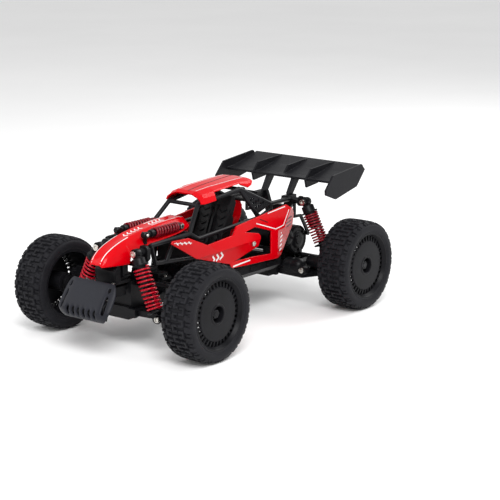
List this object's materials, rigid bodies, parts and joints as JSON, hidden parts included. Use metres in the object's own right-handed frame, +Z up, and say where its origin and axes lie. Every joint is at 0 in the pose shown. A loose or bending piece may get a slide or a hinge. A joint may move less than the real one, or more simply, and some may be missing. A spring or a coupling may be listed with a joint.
{
  "type": "remote control car",
  "caption": "Radio-controlled desert buggy with caged cockpit, sprung arms, steered front wheels and rear wing.",
  "frame": {"origin": "middle of the footprint, on the ground under the tyres", "axes": "nose towards -Y, the car's left side at +X, +Z up"},
  "size_m": [0.2, 0.32, 0.1266],
  "materials": {
    "tyre_rubber": "matt moulded rubber",
    "rim_black": "satin black nylon",
    "nut_black": "blackened steel",
    "black_plastic": "satin black nylon",
    "chassis_black": "fine-textured black nylon",
    "cage_black": "satin black nylon",
    "bumper_grey": "satin dark grey nylon",
    "seat_black": "textured black",
    "wing_black": "satin black",
    "body_red": "glossy red",
    "spring_red": "red powder coat",
    "damper_red": "red and black",
    "rod_steel": "polished steel",
    "screw_steel": "bright zinc",
    "motor_steel": "plated can",
    "gear_nylon": "nylon gear",
    "battery_wrap": "pale blue shrink wrap",
    "board_green": "circuit board"
  },
  "bodies": {
    "chassis": {"chassis_tub": "chassis_black", "battery_door": "chassis_black", "battery_pack": "battery_wrap", "control_board": "board_green", "front_bulkhead": "black_plastic", "front_bumper": "bumper_grey", "steering_servo": "black_plastic", "rear_gearbox": "black_plastic", "motor": "motor_steel", "cockpit_tub": "seat_black", "roll_cage": "cage_black", "hood": "body_red", "hood_shocks": "damper_red", "roof_panel": "body_red", "side_panel_left": "body_red", "side_panel_right": "body_red", "rear_wing": "wing_black", "screws": "screw_steel"},
    "steering_link": {"steering_link": "black_plastic"},
    "servo_horn": {"servo_horn": "black_plastic"},
    "drive_gear": {"drive_gear": "gear_nylon"},
    "motor_pinion": {"motor_pinion": "gear_nylon"},
    "front_left_lower_arm": {"front_left_lower_arm": "black_plastic"},
    "front_left_upper_arm": {"front_left_upper_arm": "black_plastic"},
    "front_left_c_hub": {"front_left_c_hub": "black_plastic"},
    "front_left_tie_rod": {"front_left_tie_rod": "black_plastic"},
    "front_left_knuckle": {"front_left_knuckle": "black_plastic", "front_left_wheel_nut": "nut_black"},
    "front_left_wheel": {"front_left_rim": "rim_black", "front_left_tyre": "tyre_rubber"},
    "front_left_shock_cylinder": {"front_left_shock_cylinder": "black_plastic", "front_left_spring": "spring_red"},
    "front_left_shock_rod": {"front_left_shock_rod": "rod_steel"},
    "rear_left_arm": {"rear_left_arm": "black_plastic"},
    "rear_left_wheel": {"rear_left_rim": "rim_black", "rear_left_tyre": "tyre_rubber", "rear_left_wheel_nut": "nut_black", "rear_left_driveshaft": "rod_steel"},
    "rear_left_shock_cylinder": {"rear_left_shock_cylinder": "black_plastic", "rear_left_spring": "spring_red"},
    "rear_left_shock_rod": {"rear_left_shock_rod": "rod_steel"},
    "front_right_lower_arm": {"front_right_lower_arm": "black_plastic"},
    "front_right_upper_arm": {"front_right_upper_arm": "black_plastic"},
    "front_right_c_hub": {"front_right_c_hub": "black_plastic"},
    "front_right_tie_rod": {"front_right_tie_rod": "black_plastic"},
    "front_right_knuckle": {"front_right_knuckle": "black_plastic", "front_right_wheel_nut": "nut_black"},
    "front_right_wheel": {"front_right_rim": "rim_black", "front_right_tyre": "tyre_rubber"},
    "front_right_shock_cylinder": {"front_right_shock_cylinder": "black_plastic", "front_right_spring": "spring_red"},
    "front_right_shock_rod": {"front_right_shock_rod": "rod_steel"},
    "rear_right_arm": {"rear_right_arm": "black_plastic"},
    "rear_right_wheel": {"rear_right_rim": "rim_black", "rear_right_tyre": "tyre_rubber", "rear_right_wheel_nut": "nut_black", "rear_right_driveshaft": "rod_steel"},
    "rear_right_shock_cylinder": {"rear_right_shock_cylinder": "black_plastic", "rear_right_spring": "spring_red"},
    "rear_right_shock_rod": {"rear_right_shock_rod": "rod_steel"}
  },
  "joints": [
    {"name": "front_left_arm_bump", "type": "hinge", "parent": "chassis", "child": "front_left_lower_arm", "pos_m": [0.016, -0.098, 0.0315], "axis": [0, -1, 0], "range_deg": [0, 12], "stiffness_Nm_per_rad": 1.6, "springref_deg": -20.05},
    {"name": "front_left_upper_arm_swing", "type": "hinge", "parent": "chassis", "child": "front_left_upper_arm", "pos_m": [0.016, -0.098, 0.056], "axis": [0, -1, 0], "range_deg": [0, 12]},
    {"name": "front_left_c_hub_level", "type": "hinge", "parent": "front_left_lower_arm", "child": "front_left_c_hub", "pos_m": [0.0545, -0.098, 0.0315], "axis": [0, -1, 0], "range_deg": [-12, 0]},
    {"name": "front_left_steer", "type": "hinge", "parent": "front_left_c_hub", "child": "front_left_knuckle", "pos_m": [0.064, -0.098, 0.041], "axis": [0, 0, 1], "range_deg": [-25, 25]},
    {"name": "front_left_wheel_spin", "type": "hinge", "parent": "front_left_knuckle", "child": "front_left_wheel", "pos_m": [0.084, -0.098, 0.041], "axis": [1, 0, 0], "continuous": true},
    {"name": "front_left_tie_rod_swing", "type": "hinge", "parent": "steering_link", "child": "front_left_tie_rod", "pos_m": [0.0255, -0.08, 0.0494], "axis": [0, -1, 0], "range_deg": [0, 12]},
    {"name": "front_left_shock_cylinder_swing", "type": "hinge", "parent": "chassis", "child": "front_left_shock_cylinder", "pos_m": [0.021, -0.1125, 0.0834], "axis": [0, -1, 0], "range_deg": [0, 2.16]},
    {"name": "front_left_shock_rod_slide", "type": "slide", "parent": "front_left_shock_cylinder", "child": "front_left_shock_rod", "axis": [-0.4217, 0, 0.9067], "range_m": [0, 0.00577], "deforming": ["front_left_spring"]},
    {"name": "rear_left_arm_bump", "type": "hinge", "parent": "chassis", "child": "rear_left_arm", "pos_m": [0.018, 0.118, 0.0315], "axis": [0, -1, 0], "range_deg": [0, 10], "stiffness_Nm_per_rad": 2, "springref_deg": -20.05},
    {"name": "rear_left_wheel_spin", "type": "hinge", "parent": "rear_left_arm", "child": "rear_left_wheel", "pos_m": [0.084, 0.118, 0.041], "axis": [1, 0, 0], "continuous": true},
    {"name": "rear_left_shock_cylinder_swing", "type": "hinge", "parent": "chassis", "child": "rear_left_shock_cylinder", "pos_m": [0.04, 0.1, 0.0963], "axis": [0, -1, 0], "range_deg": [-1.03, 0]},
    {"name": "rear_left_shock_rod_slide", "type": "slide", "parent": "rear_left_shock_cylinder", "child": "rear_left_shock_rod", "axis": [-0.4614, 0, 0.8872], "range_m": [0, 0.00863], "deforming": ["rear_left_spring"]},
    {"name": "front_right_arm_bump", "type": "hinge", "parent": "chassis", "child": "front_right_lower_arm", "pos_m": [-0.016, -0.098, 0.0315], "axis": [0, 1, 0], "range_deg": [0, 12], "stiffness_Nm_per_rad": 1.6, "springref_deg": -20.05},
    {"name": "front_right_upper_arm_swing", "type": "hinge", "parent": "chassis", "child": "front_right_upper_arm", "pos_m": [-0.016, -0.098, 0.056], "axis": [0, 1, 0], "range_deg": [0, 12]},
    {"name": "front_right_c_hub_level", "type": "hinge", "parent": "front_right_lower_arm", "child": "front_right_c_hub", "pos_m": [-0.0545, -0.098, 0.0315], "axis": [0, 1, 0], "range_deg": [-12, 0]},
    {"name": "front_right_steer", "type": "hinge", "parent": "front_right_c_hub", "child": "front_right_knuckle", "pos_m": [-0.064, -0.098, 0.041], "axis": [0, 0, 1], "range_deg": [-25, 25]},
    {"name": "front_right_wheel_spin", "type": "hinge", "parent": "front_right_knuckle", "child": "front_right_wheel", "pos_m": [-0.084, -0.098, 0.041], "axis": [1, 0, 0], "continuous": true},
    {"name": "front_right_tie_rod_swing", "type": "hinge", "parent": "steering_link", "child": "front_right_tie_rod", "pos_m": [-0.0255, -0.08, 0.0494], "axis": [0, 1, 0], "range_deg": [0, 12]},
    {"name": "front_right_shock_cylinder_swing", "type": "hinge", "parent": "chassis", "child": "front_right_shock_cylinder", "pos_m": [-0.021, -0.1125, 0.0834], "axis": [0, 1, 0], "range_deg": [0, 2.16]},
    {"name": "front_right_shock_rod_slide", "type": "slide", "parent": "front_right_shock_cylinder", "child": "front_right_shock_rod", "axis": [0.4217, 0, 0.9067], "range_m": [0, 0.00577], "deforming": ["front_right_spring"]},
    {"name": "rear_right_arm_bump", "type": "hinge", "parent": "chassis", "child": "rear_right_arm", "pos_m": [-0.018, 0.118, 0.0315], "axis": [0, 1, 0], "range_deg": [0, 10], "stiffness_Nm_per_rad": 2, "springref_deg": -20.05},
    {"name": "rear_right_wheel_spin", "type": "hinge", "parent": "rear_right_arm", "child": "rear_right_wheel", "pos_m": [-0.084, 0.118, 0.041], "axis": [1, 0, 0], "continuous": true},
    {"name": "rear_right_shock_cylinder_swing", "type": "hinge", "parent": "chassis", "child": "rear_right_shock_cylinder", "pos_m": [-0.04, 0.1, 0.0963], "axis": [0, 1, 0], "range_deg": [-1.03, 0]},
    {"name": "rear_right_shock_rod_slide", "type": "slide", "parent": "rear_right_shock_cylinder", "child": "rear_right_shock_rod", "axis": [0.4614, 0, 0.8872], "range_m": [0, 0.00863], "deforming": ["rear_right_spring"]},
    {"name": "steering_link_slide", "type": "slide", "parent": "chassis", "child": "steering_link", "axis": [1, 0, 0], "range_m": [-0.00766, 0.00766]},
    {"name": "servo_horn_swing", "type": "hinge", "parent": "chassis", "child": "servo_horn", "pos_m": [0, -0.068, 0.06], "axis": [0, 0, 1], "range_deg": [-33.5, 33.5]},
    {"name": "drive_gear_spin", "type": "hinge", "parent": "chassis", "child": "drive_gear", "pos_m": [0, 0.107, 0.0575], "axis": [1, 0, 0], "continuous": true},
    {"name": "motor_pinion_spin", "type": "hinge", "parent": "chassis", "child": "motor_pinion", "pos_m": [0, 0.0926, 0.0619], "axis": [1, 0, 0], "continuous": true}
  ],
  "couplings": [
    {"joint": "front_left_upper_arm_swing", "follows": "front_left_arm_bump", "ratio": 1},
    {"joint": "front_left_c_hub_level", "follows": "front_left_arm_bump", "ratio": -1},
    {"joint": "front_left_tie_rod_swing", "follows": "front_left_arm_bump", "ratio": 1},
    {"joint": "front_left_shock_cylinder_swing", "follows": "front_left_arm_bump", "ratio": 0.17809},
    {"joint": "front_left_shock_rod_slide", "follows": "front_left_arm_bump", "m_per_rad": 0.027306},
    {"joint": "rear_left_shock_cylinder_swing", "follows": "rear_left_arm_bump", "ratio": -0.10135},
    {"joint": "rear_left_shock_rod_slide", "follows": "rear_left_arm_bump", "m_per_rad": 0.049162},
    {"joint": "front_right_upper_arm_swing", "follows": "front_right_arm_bump", "ratio": 1},
    {"joint": "front_right_c_hub_level", "follows": "front_right_arm_bump", "ratio": -1},
    {"joint": "front_right_tie_rod_swing", "follows": "front_right_arm_bump", "ratio": 1},
    {"joint": "front_right_shock_cylinder_swing", "follows": "front_right_arm_bump", "ratio": 0.17809},
    {"joint": "front_right_shock_rod_slide", "follows": "front_right_arm_bump", "m_per_rad": 0.027306},
    {"joint": "rear_right_shock_cylinder_swing", "follows": "rear_right_arm_bump", "ratio": -0.10135},
    {"joint": "rear_right_shock_rod_slide", "follows": "rear_right_arm_bump", "m_per_rad": 0.049162},
    {"joint": "front_right_steer", "follows": "front_left_steer", "ratio": 1},
    {"joint": "steering_link_slide", "follows": "front_left_steer", "m_per_rad": -0.017434},
    {"joint": "servo_horn_swing", "follows": "front_left_steer", "ratio": -1.336},
    {"joint": "motor_pinion_spin", "follows": "drive_gear_spin", "ratio": -2.6667}
  ]
}
